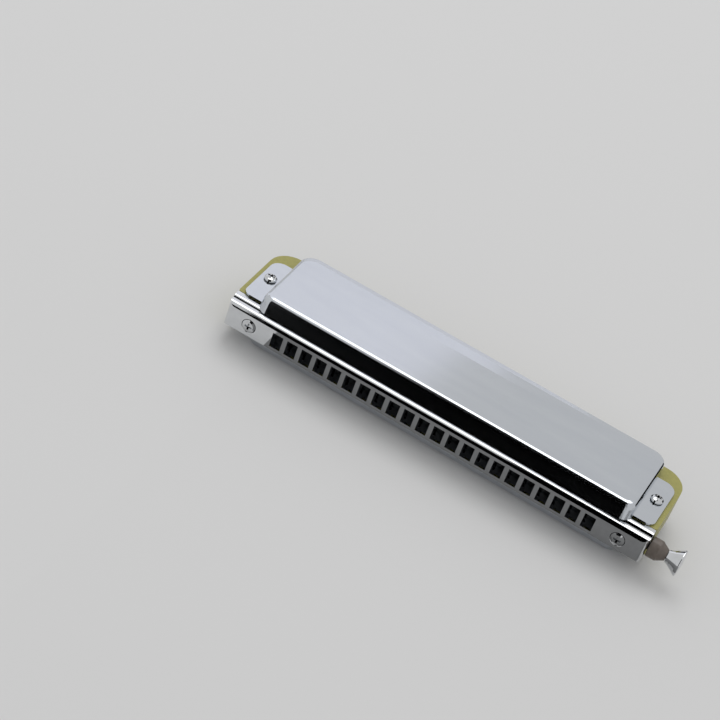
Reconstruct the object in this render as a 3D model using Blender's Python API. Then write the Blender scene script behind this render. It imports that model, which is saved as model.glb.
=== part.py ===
"""Chromatic harmonica with 22 square holes and a spring-loaded slide.

X runs along the instrument towards the slide button, Y from the mouthpiece
face to the back, Z up.  The origin is the middle of the mouthpiece face.
"""
import math

import bmesh
import bpy
from mathutils import Matrix, Vector

MM = 0.001

# ---- driving dimensions, millimetres ----
GAP = 0.3                    # clearance between neighbouring pieces
HOLES = 22
PITCH = 6.9
HOLE_W = 4.9
HOLE_H = 7.0

FACE_HALF_H = 4.95           # flat face of the mouthpiece
CREST_Y0 = 2.9
CREST_Y1 = 4.0
CREST_Z = 6.3
BODY_HALF_H = 7.2            # comb rim and back of the mouthpiece
COVE_Y1 = 6.0
MOUTH_HALF_L = 97.1
MOUTH_BACK = 7.9
MOUTH_WALL = 5.9             # depth of the hole block in front of the slide
MOUTH_CORNER_R = 3.0

COMB_PROUD = 0.2             # comb end past the mouthpiece end
COMB_HALF_L = MOUTH_HALF_L + COMB_PROUD
COMB_BACK = 46.0
COMB_REAR_R = 10.0
PLATE_HALF_L = 83.8
SEAT_CLEARANCE = 0.4         # seat past each end of the reed plate
SEAT_HALF_L = PLATE_HALF_L + SEAT_CLEARANCE
SEAT_Z = 5.7                 # where a reed plate seats
CHAMBER_W = 4.5
CHAMBER_Y0 = 12.5
CHAMBER_LONG = 27.0
CHAMBER_SHORT = 14.0
DUCT_W = 3.2

SLIDE_T = 0.8
SLIDE_HALF_H = 5.0
SLIDE_LEFT = -77.4
SLIDE_RIGHT = 93.2
TONGUE_END = 108.4
TONGUE_HALF_H = 1.6
WINDOW_W = 3.0
WINDOW_Z0 = 0.8
WINDOW_Z1 = 4.0
BACKING_T = 0.6

PLATE_T = 1.0
PLATE_Y0 = 8.7
PLATE_Y1 = 45.5
REED_W = 2.1
REED_T = 0.25
SLOT_W = 2.8

COVER_T = 0.7
COVER_TOP = 13.0
TAB_END = 95.2
TAB_Y0 = 7.75
TAB_Y1 = 36.6

SHOULDER_X = 85.7            # mouthpiece screws
COVER_SCREW_X = 90.75
COVER_SCREW_Y = 23.2

COLLAR_R = 4.34
COLLAR_X0 = 97.6
COLLAR_X1 = 101.7
COLLAR_X2 = 105.2
COLLAR_NECK_R = 2.36
BUTTON_X0 = 105.5
BUTTON_R = 5.75
BUTTON_X1 = 111.2

SPRING_X = 80.3
SPRING_Y = 17.5
SPRING_R = 1.95
WIRE_R = 0.35

# ---- values that follow from the driving dimensions ----
TRAVEL = PITCH / 2
SLIDE_Y0 = MOUTH_WALL + GAP
SLIDE_Y1 = SLIDE_Y0 + SLIDE_T
AXIS_Y = (SLIDE_Y0 + SLIDE_Y1) / 2
BACKING_Y0 = SLIDE_Y1 + GAP
BACKING_Y1 = BACKING_Y0 + BACKING_T
COMB_FRONT = MOUTH_BACK + GAP
PLATE_Z0 = SEAT_Z + GAP
PLATE_Z1 = PLATE_Z0 + PLATE_T
TAB_Z0 = BODY_HALF_H + GAP
TAB_Z1 = TAB_Z0 + COVER_T
CHANNEL_HALF_H = SLIDE_HALF_H + 0.35
POCKET_R = COLLAR_R + 0.36
POCKET_X0 = COLLAR_X0 - TRAVEL - 1.8
HOLE_X = [(k - (HOLES - 1) / 2) * PITCH for k in range(HOLES)]
CHAMBER_L = [CHAMBER_LONG - (CHAMBER_LONG - CHAMBER_SHORT) * k / (HOLES - 1) for k in range(HOLES)]
ARM_X = SPRING_X + 1.0
ARM_Z = 1.9

for old in list(bpy.data.objects):
    bpy.data.objects.remove(old, do_unlink=True)


def material(name, colour, roughness, metallic):
    mat = bpy.data.materials.new(name)
    mat.use_nodes = True
    shader = mat.node_tree.nodes["Principled BSDF"]
    shader.inputs["Base Color"].default_value = (*colour, 1.0)
    shader.inputs["Roughness"].default_value = roughness
    shader.inputs["Metallic"].default_value = metallic
    mat.diffuse_color = (*colour, 1.0)
    return mat


def add_object(name, bm, mat, smooth=False):
    bmesh.ops.recalc_face_normals(bm, faces=bm.faces)
    mesh = bpy.data.meshes.new(name)
    for v in bm.verts:
        v.co *= MM
    bm.to_mesh(mesh)
    bm.free()
    if smooth:
        for poly in mesh.polygons:
            poly.use_smooth = True
        mesh.set_sharp_from_angle(angle=math.radians(35))
    obj = bpy.data.objects.new(name, mesh)
    bpy.context.scene.collection.objects.link(obj)
    if mat is not None:
        mesh.materials.append(mat)
    return obj


def add_box(bm, x0, x1, y0, y1, z0, z1):
    size = Matrix.Diagonal((x1 - x0, y1 - y0, z1 - z0, 1))
    place = Matrix.Translation(((x0 + x1) / 2, (y0 + y1) / 2, (z0 + z1) / 2))
    bmesh.ops.create_cube(bm, size=1.0, matrix=place @ size)


def add_cylinder(bm, centre, axis, radius, length, segments=16):
    """A cylinder whose middle is centre, along the X, Y or Z axis."""
    turn = {"X": Matrix.Rotation(math.pi / 2, 4, "Y"),
            "Y": Matrix.Rotation(math.pi / 2, 4, "X"),
            "Z": Matrix.Identity(4)}[axis]
    bmesh.ops.create_cone(
        bm, cap_ends=True, segments=segments, radius1=radius, radius2=radius, depth=length,
        matrix=Matrix.Translation(centre) @ turn)


def add_prism(bm, outline, low, high, axis):
    """Extrudes a 2D outline: axis X takes (y, z) points, axis Z takes (x, y) points."""
    def place(p, h):
        return (h, p[0], p[1]) if axis == "X" else (p[0], p[1], h)
    bottom = [bm.verts.new(place(p, low)) for p in outline]
    top = [bm.verts.new(place(p, high)) for p in outline]
    bm.faces.new(bottom)
    bm.faces.new(top)
    count = len(outline)
    for i in range(count):
        j = (i + 1) % count
        bm.faces.new((bottom[i], bottom[j], top[j], top[i]))


def add_turned(bm, profile, origin, axis, segments=24):
    """Turns (distance along axis, radius) points round the axis; radius 0 closes an end."""
    rings = []
    for along, radius in profile:
        if radius == 0:
            points = [(along, 0.0, 0.0)]
        else:
            angles = [2 * math.pi * i / segments for i in range(segments)]
            points = [(along, radius * math.cos(a), radius * math.sin(a)) for a in angles]
        ring = []
        for a, b, c in points:
            offset = {"X": (a, b, c), "Y": (c, a, b), "Z": (b, c, a)}[axis]
            ring.append(bm.verts.new(Vector(origin) + Vector(offset)))
        rings.append(ring)
    for lower, upper in zip(rings, rings[1:]):
        for i in range(segments):
            j = (i + 1) % segments
            if len(lower) == 1:
                bm.faces.new((lower[0], upper[j], upper[i]))
            elif len(upper) == 1:
                bm.faces.new((lower[i], lower[j], upper[0]))
            else:
                bm.faces.new((lower[i], lower[j], upper[j], upper[i]))


def rounded_outline(x0, x1, y0, y1, radii, steps=5):
    """Plan outline; radii for the corners (x1, y0), (x1, y1), (x0, y1), (x0, y0)."""
    points = []
    corners = ((x1, y0, 1, -1), (x1, y1, 1, 1), (x0, y1, -1, 1), (x0, y0, -1, -1))
    starts = (-90, 0, 90, 180)
    for (cx, cy, sx, sy), r, start in zip(corners, radii, starts):
        if r == 0:
            points.append((cx, cy))
            continue
        for i in range(steps + 1):
            a = math.radians(start + 90 * i / steps)
            points.append((cx - sx * r + r * math.cos(a), cy - sy * r + r * math.sin(a)))
    return points


def boolean(obj, bm, operation="DIFFERENCE"):
    """Applies an exact boolean with the solids in bm, kept as a hidden cutter."""
    cutter = add_object(f"{obj.name}_{operation.lower()}_{len(obj.modifiers)}", bm, None)
    cutter.hide_render = True
    cutter.display_type = "WIRE"
    mod = obj.modifiers.new(operation.lower(), "BOOLEAN")
    mod.operation = operation
    mod.solver = "EXACT"
    mod.use_self = True
    mod.object = cutter
    return cutter


CHROME = material("chrome", (0.80, 0.81, 0.82), 0.06, 1.0)
STEEL = material("polished_steel", (0.66, 0.69, 0.72), 0.18, 1.0)
BRASS = material("brass", (0.70, 0.55, 0.26), 0.3, 1.0)
OLIVE = material("olive_plastic", (0.36, 0.35, 0.10), 0.45, 0.0)
COLLAR_MAT = material("grey_brown_collar", (0.13, 0.11, 0.095), 0.5, 0.0)
RUBBER = material("silicone", (0.75, 0.75, 0.72), 0.6, 0.0)
SPRING_STEEL = material("spring_steel", (0.45, 0.46, 0.48), 0.25, 1.0)


def build_mouthpiece():
    half = []
    steps = 5
    # convex lip from the face to the crest
    start = math.radians(46)
    for i in range(steps + 1):
        a = start + (math.pi / 2 - start) * i / steps
        y = CREST_Y0 * (math.cos(start) - math.cos(a)) / math.cos(start)
        z = FACE_HALF_H + (CREST_Z - FACE_HALF_H) * (math.sin(a) - math.sin(start)) / (1 - math.sin(start))
        half.append((y, z))
    half.append((CREST_Y1, CREST_Z))
    # hollow cove up to the back flange
    for i in range(1, steps + 1):
        a = math.pi / 2 * i / steps
        y = CREST_Y1 + (COVE_Y1 - CREST_Y1) * (1 - math.cos(a))
        z = CREST_Z + (BODY_HALF_H - CREST_Z) * math.sin(a)
        half.append((y, z))
    half.append((MOUTH_BACK, BODY_HALF_H))
    outline = half + [(y, -z) for y, z in reversed(half)]
    bm = bmesh.new()
    add_prism(bm, outline, -MOUTH_HALF_L - 1, MOUTH_HALF_L + 1, "X")
    obj = add_object("mouthpiece", bm, CHROME, smooth=True)
    r = MOUTH_CORNER_R
    plan = rounded_outline(-MOUTH_HALF_L, MOUTH_HALF_L, 0, MOUTH_BACK + 1, (r, 0, 0, r), 6)
    bm = bmesh.new()
    add_prism(bm, plan, -BODY_HALF_H - 1, BODY_HALF_H + 1, "Z")
    boolean(obj, bm, "INTERSECT")
    bm = bmesh.new()
    for x in HOLE_X:
        add_box(bm, x - HOLE_W / 2, x + HOLE_W / 2, -1, MOUTH_WALL + 0.5, -HOLE_H / 2, HOLE_H / 2)
    boolean(obj, bm)
    bm = bmesh.new()
    add_box(bm, SLIDE_LEFT - TRAVEL - 0.65, MOUTH_HALF_L + 2, MOUTH_WALL, MOUTH_BACK + 1,
            -CHANNEL_HALF_H, CHANNEL_HALF_H)
    boolean(obj, bm)
    bm = bmesh.new()
    add_cylinder(bm, ((POCKET_X0 + MOUTH_HALF_L + 2) / 2, AXIS_Y, 0), "X", POCKET_R,
                 MOUTH_HALF_L + 2 - POCKET_X0, 24)
    for side in (-1, 1):
        add_turned(bm, [(-1, 0), (-1, 3.3), (0, 3.3), (1.9, 1.5), (MOUTH_BACK + 1, 1.5), (MOUTH_BACK + 1, 0)],
                   (side * SHOULDER_X, 0, 0), "Y", 20)
    boolean(obj, bm)


def build_comb():
    plan = rounded_outline(-COMB_HALF_L, COMB_HALF_L, COMB_FRONT, COMB_BACK,
                           (1.2, COMB_REAR_R, COMB_REAR_R, 1.2), 7)
    bm = bmesh.new()
    add_prism(bm, plan, -BODY_HALF_H, BODY_HALF_H, "Z")
    obj = add_object("comb", bm, OLIVE, smooth=True)
    bm = bmesh.new()
    for side in (-1, 1):
        z0, z1 = sorted((side * SEAT_Z, side * (BODY_HALF_H + 1)))
        add_box(bm, -SEAT_HALF_L, SEAT_HALF_L, COMB_FRONT - 1, COMB_BACK + 1, z0, z1)
    boolean(obj, bm)
    bm = bmesh.new()
    for side in (-1, 1):
        for x, length in zip(HOLE_X, CHAMBER_L):
            z0, z1 = sorted((side * WINDOW_Z0, side * (SEAT_Z + 0.4)))
            add_box(bm, x - CHAMBER_W / 2, x + CHAMBER_W / 2, CHAMBER_Y0, CHAMBER_Y0 + length, z0, z1)
    boolean(obj, bm)
    bm = bmesh.new()
    for side in (-1, 1):
        for x in HOLE_X:
            z0, z1 = sorted((side * (WINDOW_Z0 + 0.1), side * WINDOW_Z1))
            add_box(bm, x - DUCT_W / 2, x + DUCT_W / 2, COMB_FRONT - 1, CHAMBER_Y0 + 0.6, z0, z1)
    boolean(obj, bm)
    bm = bmesh.new()
    add_box(bm, SPRING_X - 3.4, SPRING_X + 3.4, COMB_FRONT - 1, SPRING_Y + 4.5, -4.2, 4.2)
    for side in (-1, 1):
        add_cylinder(bm, (side * SHOULDER_X, COMB_FRONT + 4.5, 0), "Y", 1.5, 11, 12)
        add_cylinder(bm, (side * COVER_SCREW_X, COVER_SCREW_Y, 0), "Z", 2.3, 2 * BODY_HALF_H + 2, 16)
    boolean(obj, bm)
    bm = bmesh.new()
    add_cylinder(bm, (SPRING_X, SPRING_Y, 0), "Z", 1.55, 10.0, 12)
    add_cylinder(bm, ((POCKET_X0 + COMB_HALF_L + 2) / 2, AXIS_Y, 0), "X", POCKET_R,
                 COMB_HALF_L + 2 - POCKET_X0, 24)
    for side in (-1, 1):
        for x in PLATE_SCREW_X:
            add_cylinder(bm, (x, PLATE_SCREW_Y, side * 4.2), "Z", 1.0, 4.4, 8)
    boolean(obj, bm)


PLATE_SCREW_X = (-79.35, -27.6, 27.6, 79.35)
PLATE_SCREW_Y = 42.9


def build_slide():
    bm = bmesh.new()
    outline = [(SLIDE_LEFT, -SLIDE_HALF_H), (SLIDE_RIGHT, -SLIDE_HALF_H), (SLIDE_RIGHT, -TONGUE_HALF_H),
               (TONGUE_END, -TONGUE_HALF_H), (TONGUE_END, TONGUE_HALF_H), (SLIDE_RIGHT, TONGUE_HALF_H),
               (SLIDE_RIGHT, SLIDE_HALF_H), (SLIDE_LEFT, SLIDE_HALF_H)]
    low = [bm.verts.new((x, SLIDE_Y0, z)) for x, z in outline]
    high = [bm.verts.new((x, SLIDE_Y1, z)) for x, z in outline]
    bm.faces.new(low)
    bm.faces.new(high)
    for i in range(len(outline)):
        j = (i + 1) % len(outline)
        bm.faces.new((low[i], low[j], high[j], high[i]))
    obj = add_object("slide_plate", bm, STEEL)
    bm = bmesh.new()
    y0, y1 = SLIDE_Y0 - 1, SLIDE_Y1 + 1
    for x in HOLE_X:
        add_box(bm, x - WINDOW_W / 2, x + WINDOW_W / 2, y0, y1, WINDOW_Z0, WINDOW_Z1)
        xl = x + TRAVEL
        add_box(bm, xl - WINDOW_W / 2, xl + WINDOW_W / 2, y0, y1, -WINDOW_Z1, -WINDOW_Z0)
    add_box(bm, SHOULDER_X - 2.3, SHOULDER_X + 2.3 + TRAVEL, y0, y1, -2.3, 2.3)
    add_box(bm, ARM_X - 0.7, ARM_X + 0.7, y0, y1, ARM_Z - 0.7, ARM_Z + 0.7)
    boolean(obj, bm)

    bm = bmesh.new()
    add_box(bm, SLIDE_LEFT - TRAVEL - 0.3, POCKET_X0 - 0.6, BACKING_Y0, BACKING_Y1,
            -SLIDE_HALF_H, SLIDE_HALF_H)
    obj = add_object("slide_backing_plate", bm, STEEL)
    bm = bmesh.new()
    y0, y1 = BACKING_Y0 - 1, BACKING_Y1 + 1
    for x in HOLE_X:
        for z0, z1 in ((WINDOW_Z0, WINDOW_Z1), (-WINDOW_Z1, -WINDOW_Z0)):
            add_box(bm, x - WINDOW_W / 2, x + WINDOW_W / 2, y0, y1, z0, z1)
    add_box(bm, ARM_X - TRAVEL - 0.8, ARM_X + 0.8, y0, y1, ARM_Z - 0.8, ARM_Z + 0.8)
    add_cylinder(bm, (SHOULDER_X, (y0 + y1) / 2, 0), "Y", 1.6, y1 - y0, 16)
    boolean(obj, bm)

    bm = bmesh.new()
    add_turned(bm, [(0, 2.0), (SLIDE_T, 2.0), (SLIDE_T, 1.5), (0, 1.5), (0, 2.0)],
               (SHOULDER_X, SLIDE_Y0, 0), "Y", 16)
    bmesh.ops.remove_doubles(bm, verts=bm.verts, dist=0.0001)
    add_object("slide_bumper", bm, RUBBER, smooth=True)


def build_spring():
    points = [(SPRING_X - 2.6, SPRING_Y - 6.0, -1.75)]
    turns = 2.5
    count = int(turns * 10)
    for i in range(count + 1):
        a = math.pi - 2 * math.pi * turns * i / count
        z = -1.75 + (ARM_Z + 1.75) * i / count
        points.append((SPRING_X + SPRING_R * math.cos(a), SPRING_Y + SPRING_R * math.sin(a), z))
    points.append((ARM_X + 0.25, BACKING_Y1 + 1.2, ARM_Z))
    points.append((ARM_X, BACKING_Y1 + 0.2, ARM_Z))
    points.append((ARM_X, SLIDE_Y0, ARM_Z))
    curve = bpy.data.curves.new("slide_spring", "CURVE")
    curve.dimensions = "3D"
    curve.bevel_depth = WIRE_R * MM
    curve.bevel_resolution = 1
    curve.resolution_u = 1
    curve.use_fill_caps = True
    spline = curve.splines.new("POLY")
    spline.points.add(len(points) - 1)
    for point, co in zip(spline.points, points):
        point.co = (co[0] * MM, co[1] * MM, co[2] * MM, 1)
    obj = bpy.data.objects.new("slide_spring", curve)
    bpy.context.scene.collection.objects.link(obj)
    curve.materials.append(SPRING_STEEL)
    least = 1e9
    for i, p in enumerate(points):
        for q in points[i + 6:]:
            least = min(least, math.dist(p, q) - 2 * WIRE_R)
    print(f"slide_spring least gap to itself: {least:.2f} mm")
    bm = bmesh.new()
    add_cylinder(bm, (SPRING_X, SPRING_Y, 0), "Z", 1.2, 9.4, 16)
    add_object("spring_pin", bm, STEEL, smooth=True)


def build_button():
    bm = bmesh.new()
    add_turned(bm, [(COLLAR_X0, 0), (COLLAR_X0, COLLAR_R - 0.3), (COLLAR_X0 + 0.3, COLLAR_R),
                    (COLLAR_X1, COLLAR_R), (COLLAR_X2, COLLAR_NECK_R), (COLLAR_X2, 0)],
               (0, AXIS_Y, 0), "X", 32)
    collar = add_object("button_collar", bm, COLLAR_MAT, smooth=True)
    bm = bmesh.new()
    profile = [(BUTTON_X0, 0), (BUTTON_X0, 2.65), (106.4, 2.95), (107.6, 3.55), (108.9, 4.35), (110.2, 5.2),
               (BUTTON_X1 - 0.15, BUTTON_R - 0.05), (BUTTON_X1 + 0.1, BUTTON_R), (BUTTON_X1 + 0.35, BUTTON_R - 0.15),
               (BUTTON_X1 + 0.6, BUTTON_R - 0.9), (BUTTON_X1 + 0.85, 2.6), (BUTTON_X1 + 0.95, 0)]
    add_turned(bm, profile, (0, AXIS_Y, 0), "X", 32)
    button = add_object("button", bm, CHROME, smooth=True)
    half_t = SLIDE_T / 2 + GAP
    half_h = TONGUE_HALF_H + GAP
    bm = bmesh.new()
    add_box(bm, COLLAR_X0 - 1, COLLAR_X2 + 1, AXIS_Y - half_t, AXIS_Y + half_t, -half_h, half_h)
    boolean(collar, bm)
    bm = bmesh.new()
    add_box(bm, BUTTON_X0 - 1, TONGUE_END + GAP, AXIS_Y - half_t, AXIS_Y + half_t, -half_h, half_h)
    boolean(button, bm)


def build_reeds(side, label):
    z0, z1 = sorted((side * PLATE_Z0, side * PLATE_Z1))
    bm = bmesh.new()
    add_box(bm, -PLATE_HALF_L, PLATE_HALF_L, PLATE_Y0, PLATE_Y1, z0, z1)
    plate = add_object(f"{label}_reed_plate", bm, BRASS)
    cut = bmesh.new()
    inner = bmesh.new()
    outer = bmesh.new()
    for k, (x, length) in enumerate(zip(HOLE_X, CHAMBER_L)):
        front = CHAMBER_Y0 + 0.9
        back = CHAMBER_Y0 + length - 4.2
        add_box(cut, x - SLOT_W / 2, x + SLOT_W / 2, front, back, z0 - 1, z1 + 1)
        inside = k % 2 == 0
        target = inner if inside else outer
        if inside:
            base, direction = side * (PLATE_Z0 + 0.1), -side
        else:
            base, direction = side * (PLATE_Z1 - 0.1), side
        tip = base + direction * (REED_T + 0.1)
        pad = base + direction * 0.7
        outline = [(front + 0.3, base), (back + 3.4, base), (back + 3.4, pad), (back + 0.6, pad),
                   (back + 0.3, tip), (front + 0.3, tip)]
        add_prism(target, outline, x - REED_W / 2, x + REED_W / 2, "X")
    for x in PLATE_SCREW_X:
        add_cylinder(cut, (x, PLATE_SCREW_Y, (z0 + z1) / 2), "Z", 1.0, 3, 12)
    boolean(plate, cut)
    # the reeds are welded to the plate at their pads
    boolean(plate, inner, "UNION")
    boolean(plate, outer, "UNION")
    for number, x in enumerate(PLATE_SCREW_X, 1):
        bm = bmesh.new()
        head = side * (PLATE_Z1 + GAP)
        add_turned(bm, [(head + side * 0.7, 0), (head + side * 0.7, 1.0), (head + side * 0.35, 1.55), (head, 1.55),
                        (head, 0.68), (side * 2.6, 0.68), (side * 2.6, 0)], (x, PLATE_SCREW_Y, 0), "Z", 12)
        add_object(f"{label}_plate_screw_{number}", bm, STEEL, smooth=True)


# cover section by level: half length, front y, back y, then z at front, ends and back
OUTER_LEVELS = (
    (86.2, 3.5, 46.0, 6.75, TAB_Z0, 10.9),
    (86.0, 5.2, 46.0, 10.9, 11.2, 11.6),
    (85.75, 5.62, 45.85, 11.75, 12.0, 12.1),
    (85.2, 6.25, 45.3, 12.4, 12.55, 12.45),
    (84.5, 7.0, 42.8, 12.82, 12.88, 12.78),
    (83.4, 8.0, 37.0, COVER_TOP, COVER_TOP, COVER_TOP),
)
INNER_LEVELS = (
    (85.5, 4.25, 45.3, 6.75, TAB_Z0, 10.9),
    (85.3, 5.93, 45.3, 10.7, 11.0, 11.45),
    (85.08, 6.28, 45.12, 11.35, 11.5, 11.65),
    (84.7, 6.75, 44.8, 11.85, 11.95, 11.8),
    (84.2, 7.35, 42.5, 12.15, 12.2, 12.1),
    (83.2, 8.2, 36.8, COVER_TOP - COVER_T, COVER_TOP - COVER_T, COVER_TOP - COVER_T),
)


def cover_ring(bm, level, front_r, rear_r, side, steps=6):
    half, y0, y1, z_front, z_end, z_back = level
    points = rounded_outline(-half, half, y0, y1, (front_r, rear_r, rear_r, front_r), steps)
    per = steps + 1
    ring = []
    for i, (x, y) in enumerate(points):
        corner, step = divmod(i, per)
        t = step / steps
        t = t * t * (3 - 2 * t)
        first, second = ((z_front, z_end), (z_end, z_back), (z_back, z_end), (z_end, z_front))[corner]
        ring.append(bm.verts.new((x, y, side * (first + (second - first) * t))))
    return ring


def build_cover(side, label):
    bm = bmesh.new()
    outer = [cover_ring(bm, lv, 3.9 - 0.2 * i, 6.6 - 0.2 * i, side) for i, lv in enumerate(OUTER_LEVELS)]
    inner = [cover_ring(bm, lv, 3.2 - 0.2 * i, 5.9 - 0.2 * i, side) for i, lv in enumerate(INNER_LEVELS)]
    sheets = outer[::-1] + inner
    count = len(outer[0])
    for a, b in zip(sheets, sheets[1:]):
        for i in range(count):
            j = (i + 1) % count
            bm.faces.new((a[i], a[j], b[j], b[i]))
    bm.faces.new(outer[-1])
    bm.faces.new(inner[-1])
    obj = add_object(f"{label}_cover", bm, STEEL, smooth=True)
    z0, z1 = sorted((side * TAB_Z0, side * TAB_Z1))
    bm = bmesh.new()
    for hand in (-1, 1):
        if hand > 0:
            plan = rounded_outline(85.75, TAB_END, TAB_Y0, TAB_Y1, (3.0, 5.0, 0, 0), 6)
        else:
            plan = rounded_outline(-TAB_END, -85.75, TAB_Y0, TAB_Y1, (0, 0, 5.0, 3.0), 6)
        add_prism(bm, plan, z0, z1, "Z")
    boolean(obj, bm, "UNION")
    bm = bmesh.new()
    for hand in (-1, 1):
        add_cylinder(bm, (hand * COVER_SCREW_X, COVER_SCREW_Y, side * (TAB_Z0 + TAB_Z1) / 2), "Z",
                     1.4 if side > 0 else 2.3, 3, 16)
    boolean(obj, bm)


def cross_recess(bm, centre, axis, span, width, depth):
    """Two crossed bars, cut into a screw head whose top is at centre."""
    x, y, z = centre
    for a, b in ((span, width), (width, span)):
        if axis == "Y":
            add_box(bm, x - a / 2, x + a / 2, y - 2, y + depth, z - b / 2, z + b / 2)
        else:
            add_box(bm, x - a / 2, x + a / 2, y - b / 2, y + b / 2, z - depth, z + 2)


def build_screws():
    for hand, label in ((-1, "left"), (1, "right")):
        bm = bmesh.new()
        add_turned(bm, [(-0.65, 0), (-0.58, 1.0), (-0.35, 2.1), (0.0, 3.0), (1.75, 1.2), (17.0, 1.2), (17.6, 0)],
                   (hand * SHOULDER_X, 0, 0), "Y", 24)
        obj = add_object(f"mouthpiece_screw_{label}", bm, CHROME, smooth=True)
        bm = bmesh.new()
        cross_recess(bm, (hand * SHOULDER_X, -0.6, 0), "Y", 3.3, 0.85, 1.2)
        boolean(obj, bm)
        bm = bmesh.new()
        seat = TAB_Z1 + GAP
        add_turned(bm, [(seat + 1.65, 0), (seat + 1.55, 1.0), (seat + 1.1, 2.1), (seat + 0.5, 2.75), (seat, 2.75),
                        (seat, 1.0), (-6.4, 1.0), (-6.4, 0)], (hand * COVER_SCREW_X, COVER_SCREW_Y, 0), "Z", 24)
        obj = add_object(f"cover_screw_{label}", bm, CHROME, smooth=True)
        bm = bmesh.new()
        cross_recess(bm, (hand * COVER_SCREW_X, COVER_SCREW_Y, seat + 1.65), "Z", 3.0, 0.8, 1.0)
        boolean(obj, bm)
        bm = bmesh.new()
        add_turned(bm, [(-seat - 1.3, 0), (-seat - 1.2, 1.2), (-seat - 0.5, 2.75), (-seat, 2.75), (-seat, 1.95),
                        (-1.2, 1.95), (-1.2, 1.35), (-7.2, 1.35), (-7.2, 0)],
                   (hand * COVER_SCREW_X, COVER_SCREW_Y, 0), "Z", 20)
        add_object(f"cover_nut_{label}", bm, CHROME, smooth=True)


build_mouthpiece()
build_comb()
build_slide()
build_spring()
build_button()
build_reeds(1, "upper")
build_reeds(-1, "lower")
build_cover(1, "upper")
build_cover(-1, "lower")
build_screws()
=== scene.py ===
"""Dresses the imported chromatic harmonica: real materials, a pale studio and the camera."""

import bmesh
import bpy
from mathutils import Matrix

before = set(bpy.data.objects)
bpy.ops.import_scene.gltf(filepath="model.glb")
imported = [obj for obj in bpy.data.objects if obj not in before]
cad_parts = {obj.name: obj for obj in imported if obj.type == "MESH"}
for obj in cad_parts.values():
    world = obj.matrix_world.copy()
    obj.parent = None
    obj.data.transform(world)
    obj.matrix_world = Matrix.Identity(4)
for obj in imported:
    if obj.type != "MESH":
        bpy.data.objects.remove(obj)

bl_info = {
    "name": "Harmonica look",
    "version": (1, 0, 0),
    "blender": (4, 5, 0),
    "location": "View3D > Sidebar > Harmonica",
    "description": "Materials and studio for a slide chromatic harmonica",
    "category": "Object",
}

CELLS_PER_METRE = 1000       # noise scale for one cell a millimetre
NOISE_DETAIL = 3.0
NOISE_LOW = 0.3              # noise value that takes the dark colour
NOISE_HIGH = 0.7             # noise value that takes the light colour
GRAIN_DEPTH = 0.00005        # relief of a moulded grain, metres

# studio sizes and places, metres
FLOOR_Z = -0.0131            # 0.1 mm under the lower cover
CARD_LEFT = -0.25            # front card, just wide enough for the walls it darkens
CARD_RIGHT = 0.15
CARD_Y = -0.5
CARD_LEFT_TOP = 0.22
CARD_RIGHT_TOP = 0.54
ROOF_LEFT = (-0.28, -0.2, 0.8)     # far corners of the card that leans over from the front card
ROOF_RIGHT = (0.15, 0.22, 0.95)
BACK_LEFT = -0.9             # low dark skirting behind and to the right
BACK_RIGHT = 0.7
BACK_Y = 1.0
BACK_TOP = 0.22
APRON_LEFT = -0.08           # grey card lying in front of the mouthpiece
APRON_RIGHT = 0.4
APRON_FRONT = -0.3
APRON_BACK = -0.002
APRON_Z = FLOOR_Z + 0.0004
SOFTBOX_LEFT = -1.1
SOFTBOX_RIGHT_LOW = -0.02
SOFTBOX_RIGHT_HIGH = -0.36
SOFTBOX_Y = 0.75
SOFTBOX_Z0 = 0.3
SOFTBOX_Z1 = 1.0
LAMP_PLACE = (-0.3, 0.7, 1.6)
LAMP_TILT = -0.4             # radians about X
LAMP_SIDE = 1.2
LAMP_WATTS = 8.0

# camera fitted to the mouth holes, screws and outlines
CAMERA_PLACE = (0.13655, -0.69253, 0.57848)
CAMERA_YAW = 0.24576         # radians
CAMERA_PITCH = 0.90158
CAMERA_ROLL = 0.36751
CAMERA_LENS = 114.42         # mm
CAMERA_SENSOR = 36.0         # mm


def srgb(text):
    """Linear RGBA from a colour written as sRGB hex."""
    parts = [int(text[i:i + 2], 16) / 255 for i in (1, 3, 5)]
    return tuple(c / 12.92 if c <= 0.04045 else ((c + 0.055) / 1.055) ** 2.4 for c in parts) + (1.0,)


def add_node(tree, kind, links=(), **values):
    """Adds a node, sets its properties or inputs, and links (output socket, input name) pairs."""
    node = tree.nodes.new(kind)
    for key, value in values.items():
        if hasattr(node, key):
            setattr(node, key, value)
        else:
            node.inputs[key.replace("_", " ")].default_value = value
    for socket, name in links:
        tree.links.new(socket, node.inputs[name])
    return node


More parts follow.
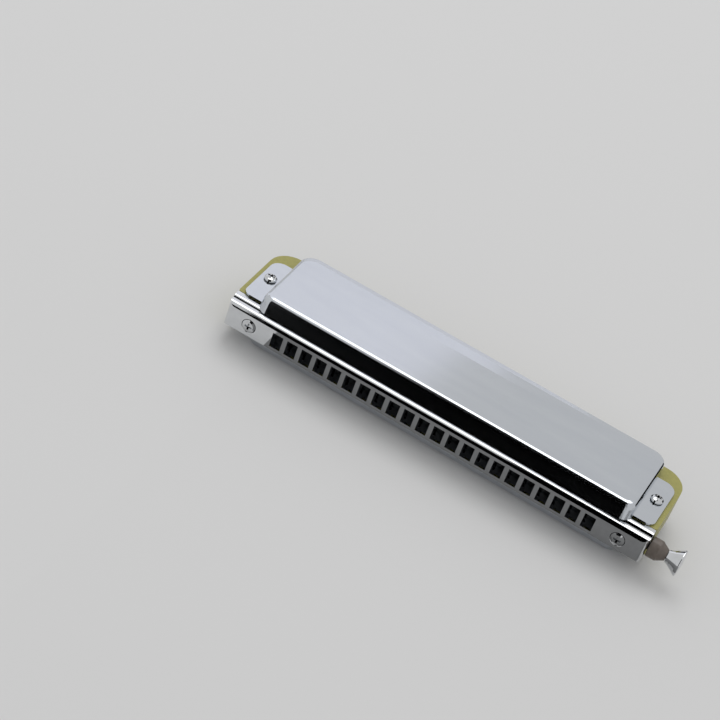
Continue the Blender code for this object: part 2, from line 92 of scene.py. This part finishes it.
def surface(name, dark, light, rough, spread, metallic, per_mm, stretch=(1, 1, 1), bump=0.0):
    """A material whose colour and roughness drift with a noise of per_mm cells a millimetre."""
    mat = bpy.data.materials.new(name)
    mat.use_nodes = True
    tree = mat.node_tree
    shader = tree.nodes["Principled BSDF"]
    shader.inputs["Metallic"].default_value = metallic
    coords = add_node(tree, "ShaderNodeTexCoord")
    place = add_node(tree, "ShaderNodeMapping", [(coords.outputs["Object"], "Vector")], Scale=stretch)
    noise = add_node(tree, "ShaderNodeTexNoise", [(place.outputs["Vector"], "Vector")],
                     Scale=per_mm * CELLS_PER_METRE, Detail=NOISE_DETAIL)
    ramp = add_node(tree, "ShaderNodeValToRGB", [(noise.outputs["Fac"], "Fac")])
    low, high = ramp.color_ramp.elements
    low.position, high.position = NOISE_LOW, NOISE_HIGH
    low.color, high.color = dark, light
    tree.links.new(ramp.outputs["Color"], shader.inputs["Base Color"])
    span = add_node(tree, "ShaderNodeMapRange", [(noise.outputs["Fac"], "Value")],
                    To_Min=max(rough - spread, 0.0), To_Max=rough + spread)
    tree.links.new(span.outputs["Result"], shader.inputs["Roughness"])
    if bump:
        relief = add_node(tree, "ShaderNodeBump", [(noise.outputs["Fac"], "Height")],
                          Strength=bump, Distance=GRAIN_DEPTH)
        tree.links.new(relief.outputs["Normal"], shader.inputs["Normal"])
    return mat


def set_shader(mat, **values):
    """Sets inputs of a material's main shader."""
    shader = mat.node_tree.nodes["Principled BSDF"]
    for key, value in values.items():
        shader.inputs[key.replace("_", " ")].default_value = value


def dress(nodes, mat):
    """Gives one material to every slot of these CAD nodes."""
    for name in nodes:
        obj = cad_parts[name]
        if not obj.material_slots:
            obj.data.materials.append(mat)
        for slot in obj.material_slots:
            slot.material = mat


def sheet(name, corners, mat):
    """A flat four-cornered stage sheet."""
    bm = bmesh.new()
    bm.faces.new([bm.verts.new(c) for c in corners])
    mesh = bpy.data.meshes.new(name)
    bm.to_mesh(mesh)
    bm.free()
    mesh.materials.append(mat)
    obj = bpy.data.objects.new(name, mesh)
    bpy.context.scene.collection.objects.link(obj)
    return obj


def card(name, corners, mat):
    """A stage sheet that only reflections show."""
    obj = sheet(name, corners, mat)
    obj.visible_camera = False
    obj.visible_diffuse = False
    obj.visible_shadow = False


def colour_setting(name, description, text):
    """A colour setting that starts from an sRGB hex value."""
    return bpy.props.FloatVectorProperty(name=name, description=description, subtype="COLOR", size=4,
                                         min=0.0, max=1.0, default=srgb(text))


class HarmonicaSettings(bpy.types.PropertyGroup):
    cover_roughness: bpy.props.FloatProperty(
        name="Cover roughness", description="Polish of the steel covers", default=0.11, min=0.0, max=1.0,
        subtype="FACTOR")
    comb_dark: colour_setting("Comb, dark", "Darker olive of the comb's moulding", "#94904A")
    comb_light: colour_setting("Comb, light", "Lighter olive of the comb's moulding", "#A19C54")
    collar_dark: colour_setting("Collar, dark", "Darker grey-brown of the button collar", "#5E564F")
    collar_light: colour_setting("Collar, light", "Lighter grey-brown of the button collar", "#6A615A")
    floor_size: bpy.props.FloatProperty(
        name="Floor size", description="Side of the floor", default=6.0, unit="LENGTH")


class HARMONICA_OT_covers(bpy.types.Operator):
    """Stainless covers with a fine satin polish"""
    bl_idname = "harmonica.covers"
    bl_label = "Dress covers"

    def execute(self, context):
        rough = context.scene.harmonica.cover_roughness
        # stamped stainless sheet, satin polished along its length: a soft mirror with faint long streaks
        steel = surface("stainless_satin_sheet", srgb("#C9CDD3"), srgb("#CDD1D6"), rough, 0.01, 1.0,
                        0.15, stretch=(0.2, 1, 1))
        dress(("upper_cover", "lower_cover"), steel)
        return {"FINISHED"}


class HARMONICA_OT_metalwork(bpy.types.Operator):
    """Chromed mouthpiece, button and screws, steel slide and brass reed plates"""
    bl_idname = "harmonica.metalwork"
    bl_label = "Dress metalwork"

    def execute(self, context):
        # chrome plate over nickel on polished brass: a sharp, almost even mirror
        chrome = surface("chrome_plate", srgb("#D2D4D6"), srgb("#DADCDE"), 0.05, 0.015, 1.0, 0.3)
        dress(("mouthpiece", "button"), chrome)
        dress([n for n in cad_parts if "screw" in n or "nut" in n], chrome)
        # rolled stainless strip, its colour darkened to a painted shade: a dull dark sheen, seen only deep in
        # the mouth holes
        # the dark grey colours are painted shade for the inside of the mouth holes, not the steel's own tone
        shaded_strip = surface("stainless_painted_shade", srgb("#4E5052"), srgb("#585A5C"), 0.35, 0.05, 1.0,
                        1.0, stretch=(0.1, 1, 1))
        dress(("slide_plate", "slide_backing_plate", "slide_spring", "spring_pin"), shaded_strip)
        # milled brass sheet: a warm satin, seen at the open backs of the covers
        brass = surface("milled_brass", srgb("#B8964E"), srgb("#C9A862"), 0.32, 0.05, 1.0, 0.8)
        dress(("upper_reed_plate", "lower_reed_plate"), brass)
        return {"FINISHED"}


class HARMONICA_OT_mouldings(bpy.types.Operator):
    """Olive comb, grey-brown collar and silicone bumper"""
    bl_idname = "harmonica.mouldings"
    bl_label = "Dress mouldings"

    def execute(self, context):
        settings = context.scene.harmonica
        # injection moulded ABS, lightly textured: a soft sheen that breaks up in the grain
        olive = surface("olive_abs", settings.comb_dark, settings.comb_light, 0.42, 0.06, 0.0, 0.8, bump=0.15)
        dress(("comb",), olive)
        # injection moulded collar with a satin skin: a broad, weak highlight
        brown = surface("grey_brown_moulding", settings.collar_dark, settings.collar_light, 0.4, 0.05, 0.0,
                        0.6, bump=0.1)
        dress(("button_collar",), brown)
        # extruded silicone tube: milky and dull, hidden in the comb
        silicone = surface("silicone_tube", srgb("#C4C2BA"), srgb("#D0CEC6"), 0.5, 0.05, 0.0, 0.5)
        dress(("slide_bumper",), silicone)
        return {"FINISHED"}


class HARMONICA_OT_studio(bpy.types.Operator):
    """Pale floor, soft light, reflection cards and the camera"""
    bl_idname = "harmonica.studio"
    bl_label = "Build studio"

    def execute(self, context):
        scene = context.scene
        # matt painted floor: pale, even and without a reflection
        paint = surface("painted_floor", srgb("#D7D7D7"), srgb("#D8D8D8"), 0.7, 0.02, 0.0, 0.002)
        set_shader(paint, Specular_IOR_Level=0.1)
        half = scene.harmonica.floor_size / 2
        sheet("floor", ((-half, -half, FLOOR_Z), (half, -half, FLOOR_Z), (half, half, FLOOR_Z),
                        (-half, half, FLOOR_Z)), paint)
        # black flock card: gives the walls and edges of the polished metal their black
        black = surface("black_card", srgb("#020202"), srgb("#040404"), 0.9, 0.02, 0.0, 0.01)
        set_shader(black, Specular_IOR_Level=0.0)
        card("card_front", ((CARD_LEFT, CARD_Y, FLOOR_Z), (CARD_RIGHT, CARD_Y, FLOOR_Z),
                            (CARD_RIGHT, CARD_Y, CARD_RIGHT_TOP), (CARD_LEFT, CARD_Y, CARD_LEFT_TOP)), black)
        card("card_top", ((CARD_LEFT, CARD_Y, CARD_LEFT_TOP), (CARD_RIGHT, CARD_Y, CARD_RIGHT_TOP),
                          ROOF_RIGHT, ROOF_LEFT), black)
        # matt grey card: darkens the mouthpiece face to a mid grey
        grey = surface("grey_card", srgb("#7E7E7E"), srgb("#848484"), 0.9, 0.02, 0.0, 0.01)
        card("card_floor", ((APRON_LEFT, APRON_FRONT, APRON_Z), (APRON_RIGHT, APRON_FRONT, APRON_Z),
                            (APRON_RIGHT, APRON_BACK, APRON_Z), (APRON_LEFT, APRON_BACK, APRON_Z)), grey)
        card("card_back", ((BACK_LEFT, BACK_Y, FLOOR_Z), (BACK_RIGHT, BACK_Y, FLOOR_Z),
                           (BACK_RIGHT, BACK_Y, BACK_TOP), (BACK_LEFT, BACK_Y, BACK_TOP)), black)
        card("card_side", ((BACK_RIGHT, BACK_Y, FLOOR_Z), (BACK_RIGHT, 0.0, FLOOR_Z),
                           (BACK_RIGHT, 0.0, BACK_TOP), (BACK_RIGHT, BACK_Y, BACK_TOP)), black)
        # white fabric softbox: a pale sheen over the left half of the cover
        glow = surface("softbox", srgb("#E4E4EA"), srgb("#E8E8EE"), 0.9, 0.02, 0.0, 0.01)
        set_shader(glow, Emission_Color=srgb("#E1E1E5"), Emission_Strength=0.5)
        card("softbox", ((SOFTBOX_LEFT, SOFTBOX_Y, SOFTBOX_Z0), (SOFTBOX_RIGHT_LOW, SOFTBOX_Y, SOFTBOX_Z0),
                         (SOFTBOX_RIGHT_HIGH, SOFTBOX_Y, SOFTBOX_Z1), (SOFTBOX_LEFT, SOFTBOX_Y, SOFTBOX_Z1)),
             glow)
        world = bpy.data.worlds.new("studio")
        world.use_nodes = True
        world.node_tree.nodes["Background"].inputs["Color"].default_value = srgb("#D9D9D9")
        scene.world = world
        lamp = bpy.data.lights.new("overhead", "AREA")
        lamp.size = LAMP_SIDE
        lamp.energy = LAMP_WATTS
        holder = bpy.data.objects.new("overhead", lamp)
        holder.matrix_world = Matrix.Translation(LAMP_PLACE) @ Matrix.Rotation(LAMP_TILT, 4, "X")
        scene.collection.objects.link(holder)
        camera = bpy.data.cameras.new("camera")
        camera.sensor_width = CAMERA_SENSOR
        camera.lens = CAMERA_LENS
        view = bpy.data.objects.new("camera", camera)
        turn = (Matrix.Rotation(CAMERA_YAW, 4, "Z") @ Matrix.Rotation(CAMERA_PITCH, 4, "X")
                @ Matrix.Rotation(CAMERA_ROLL, 4, "Z"))
        view.matrix_world = Matrix.Translation(CAMERA_PLACE) @ turn
        scene.collection.objects.link(view)
        scene.camera = view
        scene.view_settings.view_transform = "Standard"
        return {"FINISHED"}


STEPS = (HARMONICA_OT_covers, HARMONICA_OT_metalwork, HARMONICA_OT_mouldings, HARMONICA_OT_studio)


class HARMONICA_PT_panel(bpy.types.Panel):
    """Settings and steps of the harmonica's look"""
    bl_label = "Harmonica"
    bl_space_type = "VIEW_3D"
    bl_region_type = "UI"
    bl_category = "Harmonica"

    def draw(self, context):
        settings = context.scene.harmonica
        for name in HarmonicaSettings.__annotations__:
            self.layout.prop(settings, name)
        for step in STEPS:
            self.layout.operator(step.bl_idname)


CLASSES = (HarmonicaSettings, *STEPS, HARMONICA_PT_panel)


def register():
    for cls in CLASSES:
        bpy.utils.register_class(cls)
    bpy.types.Scene.harmonica = bpy.props.PointerProperty(type=HarmonicaSettings)


def unregister():
    del bpy.types.Scene.harmonica
    for cls in reversed(CLASSES):
        bpy.utils.unregister_class(cls)


def main():
    """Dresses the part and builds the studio."""
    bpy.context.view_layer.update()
    register()
    bpy.ops.harmonica.covers()
    bpy.ops.harmonica.metalwork()
    bpy.ops.harmonica.mouldings()
    bpy.ops.harmonica.studio()


if __name__ == "__main__":
    main()
